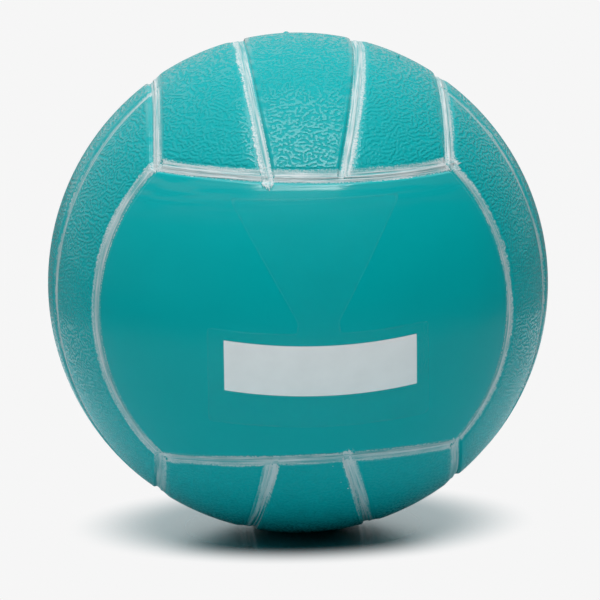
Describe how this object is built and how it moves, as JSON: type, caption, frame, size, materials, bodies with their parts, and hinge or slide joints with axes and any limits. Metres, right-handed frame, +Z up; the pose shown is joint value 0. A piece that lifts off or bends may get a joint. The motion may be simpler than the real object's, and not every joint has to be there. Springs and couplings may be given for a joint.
{
  "type": "beach ball",
  "caption": "Soft moulded vinyl beach ball in a volleyball panel pattern, with white-painted grooves, a smooth front panel and a needle valve.",
  "frame": {"origin": "the middle of the flat patch on which the ball lies, under its lowest point", "axes": "+Z up through the ball's centre, -Y out of the smooth front panel with the film, +Y out of the valve, +X to the right as seen from the front"},
  "size_m": [0.212, 0.2122, 0.2113],
  "materials": {
    "skin": "satin soft vinyl, leather grain on the strips and smooth on the front panel",
    "line_ink": "hand-painted white vinyl ink, streaky and thin in places",
    "film": "clear transfer film with a bare white plate",
    "valve_housing": "soft translucent white vinyl",
    "valve_core": "matt black rubber"
  },
  "bodies": {
    "root": {"ball_skin": "skin", "valve_housing": "valve_housing", "valve_core": "valve_core", "print_film": "film", "line_front_bottom": "line_ink", "line_front_top": "line_ink", "line_back_bottom": "line_ink", "line_back_top": "line_ink", "line_back_strip_bottom": "line_ink", "line_back_strip_top": "line_ink", "line_right_front": "line_ink", "line_right_back": "line_ink", "line_right_strip_front": "line_ink", "line_right_strip_back": "line_ink", "line_left_front": "line_ink", "line_left_back": "line_ink", "line_left_strip_front": "line_ink", "line_left_strip_back": "line_ink", "line_top_left": "line_ink", "line_top_right": "line_ink", "line_top_strip_left": "line_ink", "line_top_strip_right": "line_ink", "line_bottom_left": "line_ink", "line_bottom_right": "line_ink", "line_bottom_strip_left": "line_ink", "line_bottom_strip_right": "line_ink"}
  },
  "joints": []
}
